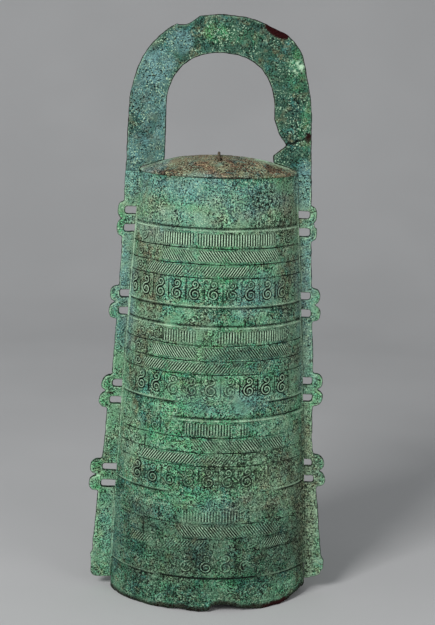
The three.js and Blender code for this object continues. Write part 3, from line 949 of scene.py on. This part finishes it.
ear_nodes = {
    side: [f"{side}_ear_{n}_{level}" for n in (1, 2, 3, 4) for level in ("upper", "lower")]
    for side in ("left", "right")
}
bridges = []
for side, sign in (("left", -1), ("right", 1)):
    for node in ear_nodes[side]:
        low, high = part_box(node)
        root = low.x if sign > 0 else high.x
        bridges.append(((root - 0.0016, -0.0026, low.z + 0.0022), (root + 0.0016, 0.0026, high.z - 0.0022)))
    leg = sign * 0.0875
    bridges.append(((leg - 0.0068, -0.00272, 0.447), (leg + 0.0068, 0.00272, 0.4555)))
plate_nodes = ["handle", "left_flange", "right_flange", *ear_nodes["left"], *ear_nodes["right"]]
plate = joined_copy("plate", plate_nodes, bridges)
notch = (50, 534), (54, 528), (55.4, 506), (60.3, 492.5), (68.6, 480.5), (58.5, 472.5), (52, 467.5), (46, 474)
chip = (
    (-46, 616), (-47.5, 600.5), (-43, 598.8), (-36, 599.8), (-30, 602.4), (-25, 606.4), (-21, 610),
    (-20, 616),
)
foot = (100, 8), (130, 8), (130, 26), (124, 20), (118, 16.8), (110, 14.6), (100, 14)
broken_away(plate, (notch, chip, foot))
even_skin(plate, 0.00105, 3)
bitten(plate, ((-124.5, 238.5, 3.2), (127.5, 21.5, 4.2), (-99.8, 544.5, 4), (104, 400, 3.5)))
weathered(plate, 0.00055, 0.00034)
swollen(plate, (0.066, 0.592), (0.62, 0.78), 0.011, 0.0045)
swollen(plate, (0.079, 0.576), (0.8, 0.6), 0.018, 0.005)
widened(plate)


def cut_part(source, name, planes):
    """The part of a skin inside some planes, each a point and an outward direction, with flat ends."""
    shape = bmesh.new()
    shape.from_mesh(source.data)
    for point, direction in planes:
        whole = [*shape.verts, *shape.edges, *shape.faces]
        cut = bmesh.ops.bisect_plane(shape, geom=whole, plane_co=point, plane_no=direction, clear_outer=True)
        rim_edges = [e for e in cut["geom_cut"] if isinstance(e, bmesh.types.BMEdge)]
        for edge in rim_edges:
            edge.smooth = False
        if rim_edges:
            bmesh.ops.edgenet_fill(shape, edges=rim_edges)
    for face in shape.faces:
        face.smooth = True
    return piece_of(shape, name)


def paint_plate(obj):
    """Worn corners, edges painted dark, the crack and the dark red patches of the plate."""
    points = mesh_points(obj)
    x, y, z = points.T
    facing = np.abs(mesh_points(obj, "normal")[:, 1])
    patchy = 0.5 + 0.5 * rough_field(points, 0.012, 3, 81)
    corner = between(0.88, 0.95, 0.96, 0.998, facing) * patchy * (0.5 + 0.5 * (z < 0.44))
    # The sides of the plate, where its faces turn away from the front, are painted dark.
    edge = 1 - soft_step(0.68, 0.95, facing)
    waver = 0.25 * rough_field(points, 0.006, 3, 82)

    def spot(across, up, low, high):
        """Mask of a ragged oval, from offsets as shares of its half axes."""
        return 1 - soft_step(low, high, np.hypot(across, up) + waver)

    right, above = x - 0.055, z - 0.595
    patch = spot((right * 0.85 - above * 0.52) / 0.0152, (right * 0.52 + above * 0.85) / 0.0066, 0.85, 1)
    small = spot((x - 0.0905) / 0.0035, (z - 0.489) / 0.006, 0.7, 1.1)
    rust = spot((x + 0.108) / 0.0045, (z - 0.216) / 0.0016, 0.7, 1.1)
    cluster = spot((x - 0.0765) / 0.009, (z - 0.5595) / 0.008, 0.6, 1.2)
    cluster *= soft_step(0.1, 0.5, rough_field(points, 0.0024, 1, 85))
    crack_line = 0.4805 + 0.0105 * np.clip((x - 0.0686) / 0.0224, 0, 1)
    crack = np.abs(z - crack_line + 0.0096 * waver) + 10 * np.maximum(0.0676 - x, 0)
    crack = 0.95 * (1 - soft_step(0.0006, 0.0022, crack))
    crust = (x > 0.08) * (1 - soft_step(0.19, 0.23, z)) * soft_step(0, 0.4, rough_field(points, 0.004, 2, 84))
    red = np.maximum.reduce([patch, 0.8 * small, 0.8 * rust, 0.35 * edge * (z > 0.46)])
    paint(
        obj,
        worn=np.maximum.reduce([corner, 0.25 * crust, 0.9 * cluster]),
        dirt=np.maximum(0.95 * edge * np.clip(patchy + 0.35, 0, 1), crack),
        maroon=red * (y < 0.0045),
    )


seam = (0, 0, wall_height)
middle = (0, 0, 0)
handle = cut_part(plate, "handle_casting", [(seam, (0, 0, -1))])
left_side = cut_part(plate, "left_flange_casting", [(seam, (0, 0, 1)), (middle, (1, 0, 0))])
right_side = cut_part(plate, "right_flange_casting", [(seam, (0, 0, 1)), (middle, (-1, 0, 0))])
bpy.data.objects.remove(plate)
handle_patina = patina("handle_patina", "#305149", "#3A604C", "#466E5C", 0.6)
flange_patina = patina("flange_patina", "#588C6E", "#76AA84", "#9CC6A0", 0.8)
for part in (handle, left_side, right_side):
    paint_plate(part)
finish_piece(handle, "bell", "handle_bronze", handle_patina, "handle")
finish_piece(left_side, "bell", "flange_bronze", flange_patina, "left_flange", *ear_nodes["left"])
finish_piece(right_side, "bell", "flange_bronze", flange_patina, "right_flange", *ear_nodes["right"])


# Seams between the wall and the flanges, cast with both, as a thin bead on the front and on the
# back. Its pale colour is wear with a painted highlight, stronger on the left, where the key light falls.
def path_frames(path):
    """Two directions square to a path at its points, which turn as little as they can."""
    along = np.gradient(path, axis=0)
    along /= np.linalg.norm(along, axis=1, keepdims=True)
    side = np.cross(along[0], [0.31, 0.87, 0.39])
    first = []
    for direction in along:
        side = side - direction * np.dot(side, direction)
        side = side / np.linalg.norm(side)
        first.append(side)
    return np.array(first), np.cross(along, first)


def tube(path, radius, sides):
    """Points and faces of a round strand with closed ends."""
    first, second = path_frames(path)
    angle = np.linspace(0, 2 * math.pi, sides, endpoint=False)[:, None]
    ring = first[:, None] * np.cos(angle) + second[:, None] * np.sin(angle)
    return (path[:, None] + radius * ring).reshape(-1, 3), ring_faces(len(path), sides)


beads = []
for tip in (-1, 1):
    for side in (-1, 1):
        path, _ = wall_place(tip, side, np.linspace(0.034, 0.449, 260))
        path = path * [0.998, 0, 1] + [0, side * 0.0041, 0]
        path += 0.0003 * rough_field(path, 0.02, 2, 91)[:, None]
        beads.append(tube(path, 0.0015, 6))
seams = joined_piece("wall_seams", beads)
points = mesh_points(seams)
# Painted highlight with wear: the bead is painted pale, most in a band of heights and on the left, where the
# key light falls.
seam_highlight_and_wear = 0.2 + 0.5 * between(0.28, 0.3, 0.39, 0.41, points[:, 2])
seam_highlight_and_wear += 0.35 * rough_field(points, 0.06, 2, 92) + 0.3 * rough_field(points, 0.005, 2, 93)
paint(seams, worn=seam_highlight_and_wear * np.where(points[:, 0] > 0, 0.4, 1))
finish_piece(seams, "bell", "flange_bronze", flange_patina)


# Cord, a hemp braid of three strands: a loop through both holes of the crown, the knot under
# them, and the length that goes down, is whipped, and passes through the clapper's eye.
hemp_cord, tree, shader = new_material("hemp_cord", {"Roughness": 0.92})
hemp_colour = overlay(tree, cloud(tree, 0.006, 0.35, 0.65), "#4C4233", "#665A46")
hemp_colour = overlay(tree, cloud(tree, 0.0012, 0.5, 0.75, 2), hemp_colour, "#857A62")
tree.links.new(hemp_colour, shader.inputs["Base Color"])
fibres = bumped(tree, 0.6, 0.0002, cloud(tree, 0.0008, 0.2, 0.8, 2))
tree.links.new(fibres, shader.inputs["Normal"])
knot_height = 0.408
eye_height = 0.21
cord_radius = 0.0015
lay_length = 0.011
path_step = 0.0009


def even_path(route):
    """A smooth path through a route's points, with points one path step apart."""
    route = np.asarray(route, float)
    ends = np.vstack([2 * route[0] - route[1], route, 2 * route[-1] - route[-2]])
    t = np.linspace(0, 1, 24, endpoint=False)[:, None]
    fine = []
    for a, b, c, d in zip(ends, ends[1:], ends[2:], ends[3:]):
        bend = (2 * a - 5 * b + 4 * c - d) * t**2 + (3 * b - 3 * c + d - a) * t**3
        fine.append(b + 0.5 * ((c - a) * t + bend))
    fine = np.vstack([*fine, route[-1:]])
    length = np.concatenate([[0], np.cumsum(np.linalg.norm(np.diff(fine, axis=0), axis=1))])
    places = np.linspace(0, length[-1], max(3, int(length[-1] / path_step)))
    return np.column_stack([np.interp(places, length, fine[:, k]) for k in range(3)])


def braid(route):
    """The three strands of a cord along a route, laid round each other."""
    path = even_path(route)
    first, second = path_frames(path)
    run = np.linspace(0, 1, len(path)) * len(path) * path_step
    laid = []
    for strand in range(3):
        angle = 2 * math.pi * (run / lay_length + strand / 3)[:, None]
        offset = first * np.cos(angle) + second * np.sin(angle)
        laid.append(tube(path + 0.46 * cord_radius * offset, 0.53 * cord_radius, 7))
    return laid


def crown_route():
    """Middle line of the loop, from the knot through one hole and back through the other."""
    start = np.array([0, 0.0023, knot_height + 0.0059])
    throat = np.array([0, hole_offset, 0.4657])
    half = [start + share * (throat - start) for share in (0, 0.35, 0.7, 1)]
    for y in hole_offset * np.array([0.96, 0.8, 0.45, 0]):
        half.append(np.array([0, y, 0.4559 + dome(y / 0.056)]))
    return half + [p * [1, -1, 1] for p in reversed(half[:-1])]


crown_loop = joined_piece("crown_loop_braid", braid(crown_route()))
finish_piece(crown_loop, "bell", "cord_hemp", hemp_cord, "crown_cord_loop")

# The knot, three lobes that cross over each other
turn = np.linspace(0, 2 * math.pi, 40)
across = (np.sin(turn) + 2 * np.sin(2 * turn)) * 0.00128
along = (np.cos(turn) - 2 * np.cos(2 * turn)) * 0.00128
knot_route = np.column_stack([across, along, knot_height - np.sin(3 * turn) * 0.0034])
knot = joined_piece("knot_braid", braid(knot_route))
finish_piece(knot, "knot", "cord_hemp", hemp_cord, "cord_knot")

# The straight braid, its bight through the eye, and the whipping that closes it
binding = eye_height + 0.027
straight = [(0, 0, knot_height - 0.0064), (0, 0, binding + 0.06), (0, 0, binding)]
shares = ((0.54, 0), (0.98, 0.17), (1, 0.42), (0.62, 0.74), (0.14, 0.97))
half = [(0.0078 * wide, 0, eye_height + 0.027 * rise) for wide, rise in shares]
bight = [*reversed(half), *[(-x, y, z) for x, y, z in half]]
turns = np.linspace(0, 1, 90)
swell = 0.0031 + 0.0008 * np.sin(math.pi * turns)
whipping = np.column_stack([coil(0, swell, 13 * math.pi * turns), binding + 0.0104 * (turns - 0.5)])
lower_parts = [*braid(straight), *braid(bight), tube(whipping, 0.0009, 6)]
lower_cord = joined_piece("lower_cord_braid", lower_parts)
finish_piece(lower_cord, "cord", "cord_hemp", hemp_cord, "clapper_cord")


# Clapper, a cast bronze rod that thickens to its striking end, with a pierced lug at the top.
# The striking end is rubbed paler where it has met the ridge inside the hem.
clapper = joined_copy("clapper_casting", ["clapper"], [])
even_skin(clapper, 0.0008, 4)
weathered(clapper, 0.0002, 0.0001)
paint(clapper, worn=0.15 * (1 - soft_step(0.032, 0.049, mesh_points(clapper)[:, 2])))
clapper_patina = patina("clapper_patina", "#33503F", "#55785B", "#8C9C76", 0.8)
finish_piece(clapper, "clapper", "clapper_bronze", clapper_patina, "clapper")


# Floor and light. A plain pale floor that curves up behind, and a soft key light from the
# upper left with a weaker fill from the right.
bend = 1.2
turn = np.linspace(0, math.pi / 2, 17)
depths = [-4, *(bend + bend * np.sin(turn)), 2 * bend]
heights = [0, *(bend - bend * np.cos(turn)), 4]
points = [(x, y, z) for y, z in zip(depths, heights) for x in (-5, 5)]
floor = new_piece("floor", points, [(i, i + 1, i + 3, i + 2) for i in range(0, len(points) - 2, 2)])
paper, tree, shader = new_material("paper", {"Roughness": 0.9})
paper_colour = overlay(tree, cloud(tree, 0.4, 0.3, 0.7, 2), "#C6C6C6", "#CCCCCC")
tree.links.new(paper_colour, shader.inputs["Base Color"])
floor.data.materials.append(paper)


def soft_light(name, place, aim, size, power):
    """A square area light at a place, turned towards a point."""
    lamp = add_object(name, bpy.data.lights.new(name, "AREA"))
    lamp.data.size = size
    lamp.data.energy = power
    lamp.location = place
    lamp.rotation_euler = (Vector(place) - Vector(aim)).to_track_quat("Z", "Y").to_euler()


soft_light("key", (-1.3, -1.9, 1.8), (0, 0, 0.36), 0.9, 53)
soft_light("fill", (1.7, -1.6, 0.9), (0, 0, 0.3), 1.2, 12)
world = bpy.data.worlds.new("world")
bpy.context.scene.world = world
world.use_nodes = True
world.node_tree.nodes["Background"].inputs["Color"].default_value = linear("#D8DCE0")
world.node_tree.nodes["Background"].inputs["Strength"].default_value = 0.35
bpy.context.scene.view_settings.view_transform = "Standard"
